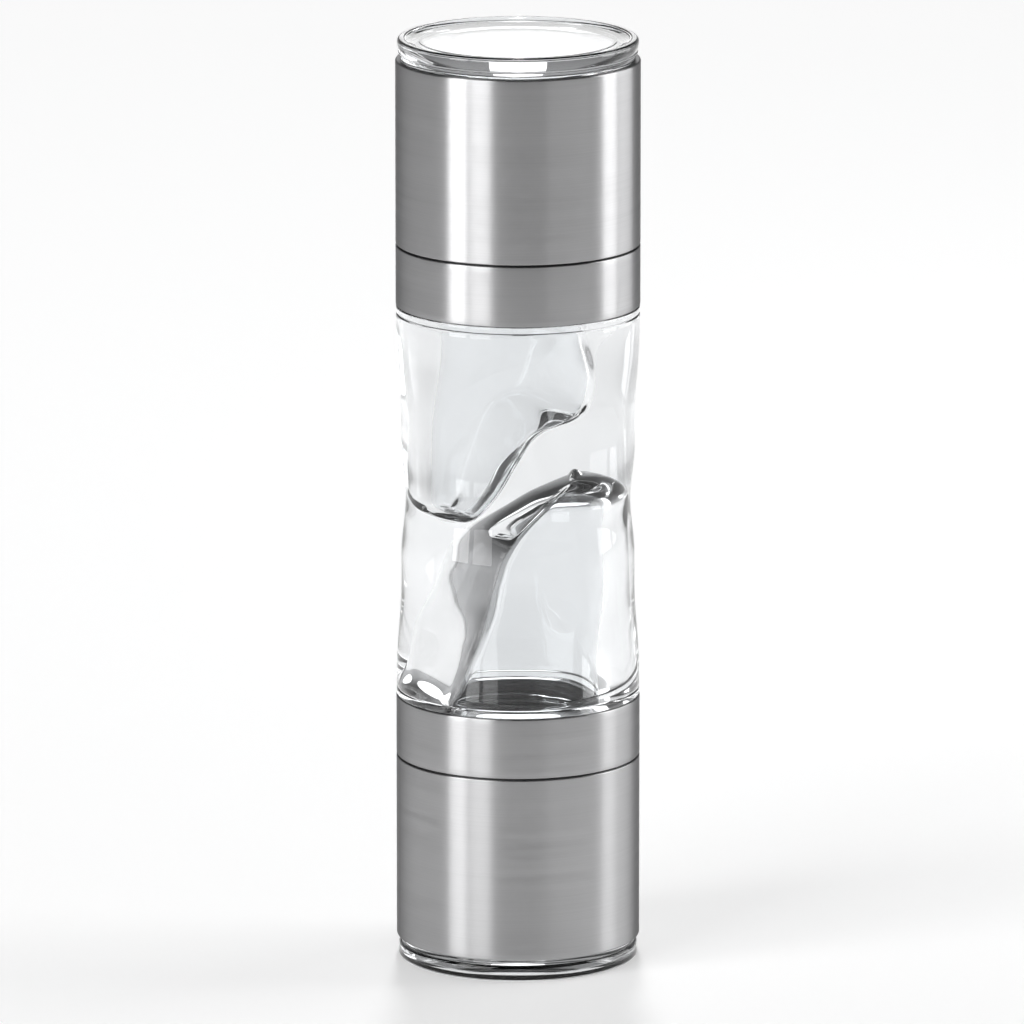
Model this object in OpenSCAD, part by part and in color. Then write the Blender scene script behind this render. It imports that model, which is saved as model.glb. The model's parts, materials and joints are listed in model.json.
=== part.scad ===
// Two-ended mill: a clear body with two chambers and the same grinding head at each end.
// Millimetres, +Z up along the mill's axis, origin at the centre of the base.
// The whole mill turns into itself by half a turn about the Y axis through its middle, so each
// head is drawn once, in its own heights: 0 at the rim of its cap, growing towards the body.

/* [Overall] */
// Radius of the steel sleeves and rings
steel_r = 25; // [24.9:0.05:25.2]
// Height of a cap that shows outside the sleeve
cap_h = 4.4; // [4.2:0.1:4.8]
// Length of a sleeve
sleeve_h = 38; // [38:0.2:39]
// Height of a narrow ring, with the seam above it
ring_h = 12.9; // [12.8:0.1:13.4]
// Length of the clear body between the rings
body_h = 81.4; // [80:0.2:84]

/* [Clear body] */
// Radius of the body beside the rings
body_end_r = 24.95; // [24.7:0.05:24.95]
// Radius of the body at its waist
waist_r = 23.05; // [22.4:0.05:24]
// Radius of the shelf between waist and ends
shelf_r = 23.95; // [23.5:0.05:24.5]
// Radius of a chamber at its mouth
mouth_r = 16.6; // [16.2:0.1:16.8]
// Lean of a chamber away from the middle, in degrees
chamber_lean = 2; // [1.4:0.2:2.6]
// Radius of a chamber at its blind end
chamber_end_r = 14; // [13:0.1:14.4]

/* [Thread between body and head] */
// Travel for one turn
pitch = 2.75; // [2.6:0.05:2.9]
// Radius of the neck below its thread
neck_r = 19.1; // [18.9:0.05:19.2]
// Height of a tooth of either thread
tooth_h = 1.1; // [0.9:0.05:1.15]

/* [Grinding head] */
// Wall of the sleeves and rings
steel_wall = 0.8; // [0.7:0.05:0.9]
// Radius of the cone burr's wide end
burr_r = 12.4; // [12.2:0.05:12.5]
// Gap between the burrs where the grounds leave
burr_gap = 0.6; // [0.5:0.05:0.8]
// Teeth on each burr where the grounds leave
fine_teeth = 24; // [18:1:26]
// Feeding grooves on each burr
coarse_teeth = 8; // [6:1:9]
// Side of the square spindle
spindle_side = 4; // [3.9:0.05:4.05]

/* [Hidden] */
$fn = 96;
e = 0.01;
H = 2 * (cap_h + sleeve_h + ring_h) + body_h;
mid = H / 2;
// heights in a head
sleeve_a = cap_h;
sleeve_b = cap_h + sleeve_h;
ring_a = sleeve_b + 0.4;
ring_b = sleeve_b + ring_h;
steel_in = steel_r - steel_wall;
band_in = steel_r - 0.9;
floor_t = 2.6;
floor_b = ring_a + 0.2;
floor_a = floor_b - floor_t;
neck_a = floor_b + 0.8;
collar_bore = neck_r + tooth_h + 0.4;
thread_a = neck_a + 1.8;
thread_turns = 2.7;
// the grinder, counted from the seam
burr_b = sleeve_b - 13.9;
burr_a = burr_b - 12;
hub_a = floor_a - 2.9;
plate_a = burr_a - 1;
plate_t = 2.5;
knob_h = 5.7;
clip_a = sleeve_b - 12.5;
clip_t = 0.8;
bearing_r = 22.2;
plug_r = 22.9;

// Turns a lower piece into its upper twin
module upper() {
    translate([0, 0, H]) rotate([0, 180, 0]) children();
}

// Smooth step from 0 at a to 1 at b
function ease(x, a, b) =
    let (t = max(0, min(1, (x - a) / (b - a)))) t * t * (3 - 2 * t);

// Points on an arc about [x, y]
function arc(x, y, r, from, to, n = 5) =
    [for (i = [0 : n]) let (t = from + (to - from) * i / n) [x + r * cos(t), y + r * sin(t)]];

// A ring between two radii and two heights
module tube(outer, inner, a, b) {
    rotate_extrude() polygon([[inner, a], [outer, a], [outer, b], [inner, b]]);
}

// A right-hand coil swept from a cross-section [radius, height] that may change along it
function coil_points(section, n) =
    [for (i = [0 : n]) let (s = section(i / n), t = s[0])
        for (p = s[1]) [p[0] * cos(t), p[0] * sin(t), p[1]]];
function coil_faces(k, n) = concat(
    [for (i = [0 : n - 1], j = [0 : k - 1])
        let (a = i * k + j, b = i * k + (j + 1) % k) each [[a, b, b + k], [a, b + k, a + k]]],
    [for (j = [1 : k - 2]) [0, j + 1, j]],
    [for (j = [1 : k - 2]) [n * k, n * k + j, n * k + j + 1]]
);
module coil(section, k, n) {
    polyhedron(points = coil_points(section, n), faces = coil_faces(k, n));
}

// A thread's tooth: its root at r_root, its crest dh away (inwards when dh is negative)
module thread(r_root, dh, start, turns) {
    side = dh > 0 ? 1 : -1;
    coil(function(u)
        let (t = 360 * turns * u,
             z = start + pitch * turns * u,
             f = min(1, 0.2 + 8 * turns * min(u, 1 - u)),
             crest = r_root + dh * f,
             root = r_root - side * 0.35,
             ring = [[root, z - 0.98], [crest, z - 0.35], [crest, z + 0.35], [root, z + 0.98]])
        [t, side > 0 ? ring : [for (i = [3 : -1 : 0]) ring[i]]],
        4, ceil(44 * turns));
}

// ---- Clear body ----

function body_r(d) = waist_r + (shelf_r - waist_r) * ease(d, 0, 11)
    + (body_end_r - shelf_r) * ease(d, 17, 36);

// Half of the body's outline, from the middle to the end of a neck
function half_outline() = concat(
    [for (d = [0 : 2 : 36]) [body_r(d), mid - d]],
    [[body_end_r, ring_b + 1.8], [body_end_r - 0.3, ring_b + 1.5],
     [body_end_r, ring_b + 1.2], [body_end_r, ring_b + 0.3], [body_end_r - 0.3, ring_b],
     [neck_r, ring_b], [neck_r, neck_a + 0.6], [neck_r - 0.6, neck_a], [0, neck_a]]
);

// The flat, sloping side of each chamber, from its blind end down
lower_side = [[8.4, mid + 6.8], [6, mid + 5.8], [1.8, mid + 3.2], [-2.2, mid - 1.4], [-5, mid - 5.6],
    [-7.2, mid - 10.4], [-8.8, mid - 16], [-9.8, mid - 23], [-10.6, mid - 34]];
upper_side = [[9.6, mid + 2.8], [7.6, mid - 0.6], [5.2, mid - 4.6], [2.4, mid - 10], [-0.6, mid - 15.4],
    [-3.2, mid - 17.6], [-6.2, mid - 18.6], [-8.8, mid - 19.8], [-10.2, mid - 23], [-10.6, mid - 34]];

// One chamber: a leaning, tapered well with a rounded top, cut off at one side
module chamber(side, top) {
    intersection() {
        union() {
            translate([0.4, 0, ring_b]) rotate([0, chamber_lean, 0])
                cylinder(r1 = mouth_r, r2 = chamber_end_r, h = top - ring_b + 6);
            translate([0, 0, neck_a - 1]) cylinder(r = mouth_r, h = ring_b - neck_a + 3);
        }
        rotate([90, 0, 0]) translate([0, 0, -mouth_r - 2]) linear_extrude(2 * mouth_r + 4)
            polygon(concat(
                [[mouth_r + 3, neck_a - 2], [mouth_r + 3, top - 4]],
                arc(12.2, top - 3.4, 3.4, 20, 90, 4),
                side,
                [[-mouth_r - 3, mid - 42], [-mouth_r - 3, neck_a - 2]]
            ));
    }
    // rounded edge of the mouth
    translate([0, 0, neck_a - e]) cylinder(r1 = mouth_r + 0.8, r2 = mouth_r, h = 0.8);
}

module clear_body() {
    color([0.93, 0.95, 0.96, 0.3]) {
        difference() {
            union() {
                rotate_extrude() polygon(concat(
                    half_outline(),
                    [for (i = [len(half_outline()) - 1 : -1 : 1])
                        [half_outline()[i][0], H - half_outline()[i][1]]]
                ));
                thread(neck_r, tooth_h, thread_a, thread_turns);
                upper() thread(neck_r, tooth_h, thread_a, thread_turns);
            }
            chamber(lower_side, mid + 7.4);
            upper() chamber(upper_side, mid + 3.6);
        }
    }
}

// ---- Head ----

// Cap: a dished disc outside, a hollow plug with a seal groove inside the sleeve
module cap() {
    color([0.93, 0.95, 0.96, 0.3]) difference() {
        rotate_extrude() polygon(concat(
            [[0, 1.3], [19.5, 1.3]],
            arc(19.5, -0.7, 2, 80, 50, 2),
            [[22.6, 0.25]],
            arc(23.3, 0.3, 0.3, 200, 270, 3),
            arc(steel_r - 1.15, 0.8, 0.8, 270, 360, 5),
            [[steel_r - 0.35, 2.7], [steel_r - 0.7, 3.1], [24, 3.1], [24, sleeve_a],
             [plug_r, sleeve_a], [plug_r, 13.5], [plug_r - 0.5, 14], [20.9, 14], [20.4, 13.5],
             [20.4, 4.3], [19.4, 3.3], [0, 3.3]]
        ));
        tube(plug_r + 1, 21.5, 8.3, 9.9);
    }
}

module cap_seal() {
    color([0.75, 0.76, 0.76]) rotate_extrude() translate([22.3, 9.1]) circle(0.74, $fn = 32);
}

// Sleeve: a thin steel tube, turned in at the cap's end
module sleeve() {
    color([0.72, 0.72, 0.73]) rotate_extrude() polygon(concat(
        [[23.4, sleeve_a + 0.8], [23.4, sleeve_a + 0.2], [23.6, sleeve_a]],
        arc(steel_r - 0.4, sleeve_a + 0.4, 0.4, 270, 360, 4),
        [[steel_r, sleeve_b - 0.2], [steel_r - 0.2, sleeve_b],
         [steel_in, sleeve_b], [steel_in, sleeve_a + 0.8]]
    ));
}

// Rotor housing: lines the sleeve, holds the carrier and runs on the collar
module rotor_housing() {
    color([0.1, 0.1, 0.11]) {
        difference() {
            union() {
                rotate_extrude() polygon([
                    [23.2, sleeve_a + 0.8], [steel_in, sleeve_a + 0.8],
                    [steel_in, sleeve_b - 0.5], [bearing_r + 0.3, sleeve_b - 0.5],
                    [bearing_r + 0.3, clip_a + clip_t + 0.3], [23.4, clip_a + clip_t + 0.3],
                    [23.4, clip_a - 1.8], [22, clip_a - 1.8],
                    [22, plate_a + plate_t], [23.2, plate_a + plate_t]
                ]);
                for (a = [30 : 120 : 270]) rotate(a) translate([20.5, 0, plate_a + plate_t + 0.1])
                    cylinder(r = 2.3, h = 9, $fn = 48);
            }
            for (a = [30 : 120 : 270]) rotate(a) translate([20.5, 0, plate_a + plate_t - 1])
                cylinder(r = 1.2, h = 9, $fn = 48);
        }
    }
}

// Burr carrier: a plate screwed into the housing, with a hub that holds the ring burr
module burr_carrier() {
    color([0.13, 0.13, 0.14]) difference() {
        rotate_extrude() polygon([
            [13.9, plate_a], [23.1, plate_a], [23.1, plate_a + plate_t],
            [17.6, plate_a + plate_t], [17.6, burr_b - 0.1], [15.95, burr_b - 0.1],
            [15.95, burr_a], [13.9, burr_a]
        ]);
        for (a = [30 : 120 : 270]) rotate(a) {
            translate([20.5, 0, plate_a - 1]) cylinder(r = 1.3, h = plate_t + 2, $fn = 32);
            translate([20.5, 0, plate_a - e]) cylinder(r = 2.15, h = 1.3, $fn = 32);
        }
        for (a = [90 : 120 : 330]) rotate(a)
            translate([15.5, -1.6, burr_a]) cube([1.6, 3.2, burr_b - burr_a]);
    }
}

module carrier_screws() {
    color([0.6, 0.6, 0.62]) for (a = [30 : 120 : 270]) rotate(a) translate([20.5, 0, plate_a]) {
        difference() {
            union() {
                translate([0, 0, 0.1]) cylinder(r = 2, h = 1.19, $fn = 32);
                translate([0, 0, 1]) cylinder(r = 1.18, h = 8.4, $fn = 32);
                translate([0, 0, 9.4]) cylinder(r1 = 1.18, r2 = 0.5, h = 0.8, $fn = 32);
            }
            for (b = [0, 90]) rotate(b) translate([-1.2, -0.25, 0]) cube([2.4, 0.5, 0.8]);
        }
    }
}

// Outer burr: a ring whose toothed throat narrows, then widens along the cone burr
module outer_burr() {
    color([0.95, 0.95, 0.93]) difference() {
        union() {
            rotate_extrude() polygon([
                [burr_r + burr_gap, burr_a], [15.9, burr_a], [15.9, burr_b], [13.4, burr_b],
                [burr_r - 1.9 + burr_gap, burr_a + 4]
            ]);
            for (a = [90 : 120 : 330]) rotate(a)
                translate([15.3, -1.5, burr_a + 0.1]) cube([1.7, 3, burr_b - burr_a - 0.4]);
        }
        for (i = [1 : coarse_teeth]) rotate(i * 360 / coarse_teeth)
            translate([burr_r - 0.4, 0, burr_a + 3]) rotate([24, 9, 0])
                translate([-1.2, -0.9, 0]) cube([2.4, 1.8, 14]);
        for (i = [1 : fine_teeth]) rotate((i + 0.5) * 360 / fine_teeth)
            translate([burr_r - 0.3, 0, burr_a - 0.6]) rotate([-14, -22, 0]) rotate(45)
                translate([-0.55, -0.55, -0.5]) cube([1.1, 1.1, 6.2]);
    }
}

// Inner burr: a cone with winding grooves, square inside
module inner_burr() {
    color([0.95, 0.95, 0.93]) difference() {
        rotate_extrude() polygon([
            [0, burr_a], [burr_r - 0.3, burr_a], [burr_r, burr_a + 0.3],
            [burr_r - 1.9, burr_a + 4], [5.8, burr_b - 0.4], [5.4, burr_b], [0, burr_b]
        ]);
        translate([-spindle_side / 2 - 0.1, -spindle_side / 2 - 0.1, burr_a - 1])
            cube([spindle_side + 0.2, spindle_side + 0.2, burr_b - burr_a + 2]);
        for (i = [1 : coarse_teeth]) rotate(i * 360 / coarse_teeth)
            translate([burr_r - 1.2, 0, burr_a + 3.2]) rotate([-26, -30, 0])
                translate([-0.7, -1.1, 0]) cube([4, 2.2, 14]);
        for (i = [1 : fine_teeth]) rotate(i * 360 / fine_teeth)
            translate([burr_r + 0.35, 0, burr_a - 0.6]) rotate([14, -24, 0]) rotate(45)
                translate([-0.55, -0.55, -0.5]) cube([1.1, 1.1, 6.2]);
    }
}

// Adjusting knob: a fluted nut on the spindle's thread
module adjusting_knob() {
    a = burr_a - knob_h;
    color([0.13, 0.13, 0.14]) difference() {
        rotate_extrude() polygon([
            [0, a], [5.9, a], [6.5, a + 0.6], [6.5, a + 4], [6, a + 4.4], [6, burr_a], [0, burr_a]
        ]);
        translate([0, 0, a - 1]) cylinder(r = 2.08, h = knob_h + 2, $fn = 48);
        translate([0, 0, burr_a - 1.9]) cylinder(r = 3.2, h = 3, $fn = 48);
        for (i = [1 : 10]) rotate(i * 36)
            translate([7.3, 0, a - 1]) cylinder(r = 1.3, h = knob_h - 0.4, $fn = 24);
    }
}

// Spindle: square through the burr, round and grooved for the knob, with a rivet head
module spindle() {
    s = spindle_side / 2;
    tip = burr_a - 7.4;
    color([0.62, 0.62, 0.64]) {
        intersection() {
            translate([-s, -s, burr_a - 0.7])
                cube([2 * s, 2 * s, floor_b - burr_a + 0.7 + e]);
            translate([0, 0, burr_a - 0.8]) cylinder(r1 = 1.8, r2 = 18, h = 16);
        }
        translate([-s, -s, burr_b - 1]) cube([2 * s, 2 * s, floor_b - burr_b + 1 + e]);
        translate([0, 0, floor_b]) cylinder(r1 = 3.8, r2 = 3, h = 1.1, $fn = 48);
        rotate_extrude() polygon(concat(
            [[0, tip], [1.5, tip], [2, tip + 0.5]],
            [for (z = [tip + 0.7 : 0.7 : burr_a - 1.6])
                each [[2, z], [1.7, z + 0.25], [1.7, z + 0.35], [2, z + 0.6]]],
            [[2, burr_a - 0.5], [0, burr_a - 0.5]]
        ));
    }
}

// Burr spring: a wire coil whose end turns lie flat
module burr_spring() {
    turns = 6;
    wire = 0.35;
    low = burr_b + wire;
    high = hub_a - wire;
    color([0.7, 0.7, 0.71]) coil(function(u)
        let (t = 360 * turns * u,
             w = max(0, min(1, (u - 0.1) / 0.8)),
             z = low + 0.7 * min(1, u / 0.1) + (high - low - 1.4) * w
                 + 0.7 * max(0, (u - 0.9) / 0.1))
        [t, [for (j = [0 : 7]) [3.95 + wire * cos(45 * j), z + wire * sin(45 * j)]]],
        8, 24 * turns);
}

// Retaining clip: an open spring ring in the collar's groove
module retaining_clip() {
    color([0.6, 0.6, 0.62]) translate([0, 0, clip_a + 0.02])
        rotate([0, 0, 25]) rotate_extrude(angle = 310)
            polygon([[21.25, 0], [23.05, 0], [23.05, clip_t - 0.04], [21.25, clip_t - 0.04]]);
}

module glide_washer() {
    color([0.08, 0.08, 0.09]) tube(band_in, bearing_r + 0.02, ring_a - 0.8, ring_a);
}

// Collar: screws on the neck, carries the ring, and its floor holds the spindle
module collar() {
    color([0.11, 0.11, 0.12]) {
        difference() {
            rotate_extrude() polygon([
                [bearing_r, ring_a], [band_in, ring_a], [band_in, ring_b - 0.4],
                [band_in - 0.3, ring_b - 0.1], [collar_bore + 0.6, ring_b - 0.1],
                [collar_bore, ring_b - 0.7], [collar_bore, floor_b], [14.6, floor_b],
                [14.6, floor_a], [13.3, clip_a - 1], [14.9, clip_a - 1], [16.2, floor_a - 1],
                [20.2, floor_a - 1], [20.2, clip_a - 1], [21.8, clip_a - 1],
                [bearing_r, clip_a - 0.6]
            ]);
            tube(bearing_r + 1, 21.2, clip_a, clip_a + clip_t);
        }
        difference() {
            union() {
                translate([0, 0, hub_a]) cylinder(r = 5.2, h = floor_b - hub_a);
                intersection() {
                    for (a = [30 : 120 : 270]) rotate(a)
                        translate([0, -1.8, floor_b - 3.4]) cube([15.2, 3.6, 3.4]);
                    cylinder(r = 15, h = mid);
                }
            }
            translate([-spindle_side / 2, -spindle_side / 2, 0])
                cube([spindle_side, spindle_side, mid]);
        }
        thread(collar_bore, -tooth_h, thread_a + pitch / 2, thread_turns - 0.3);
    }
}

module collar_gasket() {
    color([0.75, 0.76, 0.76]) tube(collar_bore - 0.7, mouth_r + 0.9, floor_b, neck_a - 0.1);
}

// Ring: the narrow steel band beside the body
module ring() {
    color([0.72, 0.72, 0.73]) rotate_extrude() polygon([
        [band_in, ring_a], [steel_r - 0.2, ring_a], [steel_r, ring_a + 0.2],
        [steel_r, ring_b - 0.35], [steel_r - 0.25, ring_b - 0.1], [band_in, ring_b - 0.1]
    ]);
}

clear_body();
cap();  // lower_cap
cap_seal();  // lower_cap_seal
sleeve();  // lower_sleeve
rotor_housing();  // lower_rotor_housing
burr_carrier();  // lower_burr_carrier
carrier_screws();  // lower_carrier_screws
outer_burr();  // lower_outer_burr
inner_burr();  // lower_inner_burr
adjusting_knob();  // lower_adjusting_knob
spindle();  // lower_spindle
burr_spring();  // lower_burr_spring
retaining_clip();  // lower_retaining_clip
glide_washer();  // lower_glide_washer
collar();  // lower_collar
collar_gasket();  // lower_collar_gasket
ring();  // lower_ring
upper() cap();  // upper_cap
upper() cap_seal();  // upper_cap_seal
upper() sleeve();  // upper_sleeve
upper() rotor_housing();  // upper_rotor_housing
upper() burr_carrier();  // upper_burr_carrier
upper() carrier_screws();  // upper_carrier_screws
upper() outer_burr();  // upper_outer_burr
upper() inner_burr();  // upper_inner_burr
upper() adjusting_knob();  // upper_adjusting_knob
upper() spindle();  // upper_spindle
upper() burr_spring();  // upper_burr_spring
upper() retaining_clip();  // upper_retaining_clip
upper() glide_washer();  // upper_glide_washer
upper() collar();  // upper_collar
upper() collar_gasket();  // upper_collar_gasket
upper() ring();  // upper_ring
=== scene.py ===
import json
import math

import bpy
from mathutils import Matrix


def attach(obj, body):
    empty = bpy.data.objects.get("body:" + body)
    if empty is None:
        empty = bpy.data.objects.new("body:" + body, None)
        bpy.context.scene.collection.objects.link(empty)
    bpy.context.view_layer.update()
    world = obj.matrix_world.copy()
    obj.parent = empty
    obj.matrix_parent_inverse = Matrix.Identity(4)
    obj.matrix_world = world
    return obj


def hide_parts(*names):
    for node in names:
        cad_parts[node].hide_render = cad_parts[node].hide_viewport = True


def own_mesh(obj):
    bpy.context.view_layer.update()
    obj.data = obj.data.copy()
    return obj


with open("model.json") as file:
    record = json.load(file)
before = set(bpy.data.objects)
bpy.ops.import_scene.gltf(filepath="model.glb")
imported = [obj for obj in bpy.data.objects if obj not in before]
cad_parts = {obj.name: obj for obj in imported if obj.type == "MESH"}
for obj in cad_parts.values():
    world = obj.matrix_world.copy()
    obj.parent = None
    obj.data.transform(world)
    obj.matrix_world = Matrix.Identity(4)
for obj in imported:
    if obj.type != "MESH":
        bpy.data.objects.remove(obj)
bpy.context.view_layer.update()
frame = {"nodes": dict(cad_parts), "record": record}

# ---------------------------------------------------------------- sizes, in millimetres
# A head is drawn at the lower end, with heights above the mill's base. _A is a lower edge, _B an upper one.
MM = 0.001
H = 192.0
MID = H / 2
CAP_H, SLEEVE_H, RING_H = 4.4, 38.0, 12.9
STEEL_R = 25.0
SLEEVE_B = CAP_H + SLEEVE_H
RING_A = SLEEVE_B + 0.4
RING_B = SLEEVE_B + RING_H
RING_IN = 24.1
FLOOR_B = RING_A + 0.2
NECK_A = FLOOR_B + 0.8
NECK_R = 19.1
PITCH, TOOTH = 2.75, 1.1
THREAD_A, NECK_TURNS, COLLAR_TURNS = NECK_A + 1.8, 2.7, 2.4
BORE_R = NECK_R + TOOTH + 0.4
BURR_B = SLEEVE_B - 13.9
BURR_A = BURR_B - 12
FLOOR_A = FLOOR_B - 2.6
HUB_A = FLOOR_A - 2.9
PLATE_A = BURR_A - 1
PLATE_B = PLATE_A + 2.5
CLIP_A = SLEEVE_B - 12.5
CLIP_T = 0.8
STEEL_IN = 24.2
BEARING_R = 22.2
SCREW_RING_R = 20.5
SCREWS = [math.radians(a) for a in (30, 150, 270)]
LUGS = [math.radians(a) for a in (90, 210, 330)]
SEG = 192


# ---------------------------------------------------------------- mesh helpers
def ease(x, a, b):
    """Smooth step of x from 0 at a to 1 at b."""
    t = max(0.0, min(1.0, (x - a) / (b - a)))
    return t * t * (3 - 2 * t)


def soft_min(a, b, k):
    """The smaller of two lengths, rounded off over k where they are alike."""
    h = max(0.0, min(1.0, 0.5 + 0.5 * (b - a) / k))
    return b + (a - b) * h - k * h * (1 - h)


def arc(x, y, r, start, end, n=6):
    """Points on an arc about (x, y), between two angles in degrees."""
    angles = [math.radians(start + (end - start) * i / n) for i in range(n + 1)]
    return [(x + r * math.cos(t), y + r * math.sin(t)) for t in angles]


def rounded(points, radii, n=4):
    """A closed outline with each corner rounded by its own radius, or all by one. 0 leaves it sharp."""
    out = []
    count = len(points)
    for i, (x, y) in enumerate(points):
        r = radii[i] if isinstance(radii, (list, tuple)) else radii
        if r <= 0:
            out.append((x, y))
            continue
        ax, ay = points[i - 1]
        bx, by = points[(i + 1) % count]
        la, lb = math.hypot(ax - x, ay - y), math.hypot(bx - x, by - y)
        ua, ub = ((ax - x) / la, (ay - y) / la), ((bx - x) / lb, (by - y) / lb)
        dot = max(-0.9999, min(0.9999, ua[0] * ub[0] + ua[1] * ub[1]))
        half = math.acos(dot) / 2
        cut = min(r / math.tan(half), 0.45 * la, 0.45 * lb)
        for j in range(n + 1):
            t = j / n
            px, py = x + ua[0] * cut, y + ua[1] * cut
            qx, qy = x + ub[0] * cut, y + ub[1] * cut
            w = (1 - t) ** 2, 2 * t * (1 - t), t * t
            out.append((w[0] * px + w[1] * x + w[2] * qx, w[0] * py + w[1] * y + w[2] * qy))
    return out


def new_piece(name, verts, faces, end, sharp=32):
    """A smooth-shaded mesh from points of a lower head, turned over for the upper end."""
    if end == "upper":
        verts = [(-x * MM, y * MM, (H - z) * MM) for x, y, z in verts]
    else:
        verts = [(x * MM, y * MM, z * MM) for x, y, z in verts]
    mesh = bpy.data.meshes.new(name)
    mesh.from_pydata(verts, [], faces)
    mesh.validate()
    mesh.update()
    obj = bpy.data.objects.new(name, mesh)
    bpy.context.scene.collection.objects.link(obj)
    mesh.polygons.foreach_set("use_smooth", [True] * len(mesh.polygons))
    if sharp:
        mesh.set_sharp_from_angle(angle=math.radians(sharp))
    return obj


class Build:
    """Vertices and faces of one piece, put together from turned and flat parts."""

    def __init__(self):
        self.verts, self.faces = [], []

    def ring(self, fn, seg=SEG):
        """A ring of points, one for each angle. Returns the number of its first point."""
        base = len(self.verts)
        self.verts += [fn(2 * math.pi * i / seg) for i in range(seg)]
        return base

    def bridge(self, a, b, seg=SEG):
        """Faces between two rings."""
        for i in range(seg):
            j = (i + 1) % seg
            self.faces.append((a + i, a + j, b + j, b + i))

    def close(self, a, point, seg=SEG, flip=False):
        """Faces from a ring to one point."""
        c = len(self.verts)
        self.verts.append(point)
        for i in range(seg):
            j = (i + 1) % seg
            self.faces.append((a + j, a + i, c) if flip else (a + i, a + j, c))

    def revolve(self, outline, seg=SEG, at=(0, 0), wave=None):
        """A closed outline of (radius, height) turned about the axis. wave(r, z, t) may move a point."""
        rings = []
        for r, z in outline:
            if wave:
                rings.append(self.ring(lambda t: wave(r, z, t), seg))
            else:
                rings.append(self.ring(
                    lambda t: (at[0] + r * math.cos(t), at[1] + r * math.sin(t), z), seg))
        for i in range(len(rings)):
            self.bridge(rings[i], rings[(i + 1) % len(rings)], seg)

    def solid(self, outline, seg=96, wave=None, at=(0, 0)):
        """A solid of revolution from pole to pole, from an open outline of (radius, height)."""
        rings = []
        for r, z in outline[1:-1]:
            if wave:
                rings.append(self.ring(lambda t: wave(r, z, t), seg))
            else:
                rings.append(self.ring(
                    lambda t: (at[0] + r * math.cos(t), at[1] + r * math.sin(t), z), seg))
        for i in range(len(rings) - 1):
            self.bridge(rings[i], rings[i + 1], seg)
        self.close(rings[0], (at[0], at[1], outline[0][1]), seg, flip=True)
        self.close(rings[-1], (at[0], at[1], outline[-1][1]), seg)

    def prism(self, outline, z0, z1, place=lambda x, y, z: (x, y, z)):
        """A convex outline of (x, y) from z0 to z1."""
        n, base = len(outline), len(self.verts)
        self.verts += [place(x, y, z0) for x, y in outline] + [place(x, y, z1) for x, y in outline]
        self.faces.append(tuple(base + i for i in reversed(range(n))))
        self.faces.append(tuple(base + n + i for i in range(n)))
        for i in range(n):
            j = (i + 1) % n
            self.faces.append((base + i, base + j, base + n + j, base + n + i))

    def piece(self, name, end, sharp=32):
        return new_piece(name, self.verts, self.faces, end, sharp)


def densify(points, step, closed=True):
    """The same line with points no more than a step apart."""
    out = []
    count = len(points)
    for i in range(count if closed else count - 1):
        (ax, ay), (bx, by) = points[i], points[(i + 1) % count]
        n = max(1, math.ceil(math.hypot(bx - ax, by - ay) / step))
        out += [(ax + (bx - ax) * j / n, ay + (by - ay) * j / n) for j in range(n)]
    if not closed:
        out.append(points[-1])
    return out


# ---------------------------------------------------------------- materials
class Material:
    """A procedural material about one Principled shader, with patterns in the object's own metres."""

    def __init__(self, name):
        self.mat = bpy.data.materials.new(name)
        self.mat.use_nodes = True
        self.nodes = self.mat.node_tree.nodes
        self.links = self.mat.node_tree.links
        self.bsdf = self.nodes["Principled BSDF"]
        self.coords = self.nodes.new("ShaderNodeTexCoord").outputs["Object"]

    def set(self, **values):
        for k, v in values.items():
            self.bsdf.inputs[k.replace("_", " ")].default_value = v
        return self

    def noise(self, scale, detail=3.0, stretch=(1, 1, 1), rough=0.5):
        m = self.nodes.new("ShaderNodeMapping")
        m.inputs["Scale"].default_value = stretch
        self.links.new(self.coords, m.inputs["Vector"])
        n = self.nodes.new("ShaderNodeTexNoise")
        n.inputs["Scale"].default_value = scale
        n.inputs["Detail"].default_value = detail
        n.inputs["Roughness"].default_value = rough
        self.links.new(m.outputs["Vector"], n.inputs["Vector"])
        return n.outputs["Fac"]

    def range(self, fac, low, high):
        """The middle of a noise's values, stretched from low to high."""
        r = self.nodes.new("ShaderNodeMapRange")
        for k, v in (("From Min", 0.3), ("From Max", 0.7), ("To Min", low), ("To Max", high)):
            r.inputs[k].default_value = v
        self.links.new(fac, r.inputs["Value"])
        return r.outputs["Result"]

    def ramp(self, fac, stops):
        r = self.nodes.new("ShaderNodeValToRGB")
        els = r.color_ramp.elements
        while len(els) < len(stops):
            els.new(0.5)
        for el, (pos, col) in zip(els, stops):
            el.position = pos
            el.color = (*col, 1)
        self.links.new(fac, r.inputs["Fac"])
        return r.outputs["Color"]

    def feed(self, name, output):
        self.links.new(output, self.bsdf.inputs[name])

    def bump(self, fac, strength, distance):
        b = self.nodes.new("ShaderNodeBump")
        b.inputs["Strength"].default_value = strength
        b.inputs["Distance"].default_value = distance
        self.links.new(fac, b.inputs["Height"])
        self.links.new(b.outputs["Normal"], self.bsdf.inputs["Normal"])


def tint(color, amount):
    return tuple(min(1, c * amount) for c in color)


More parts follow.
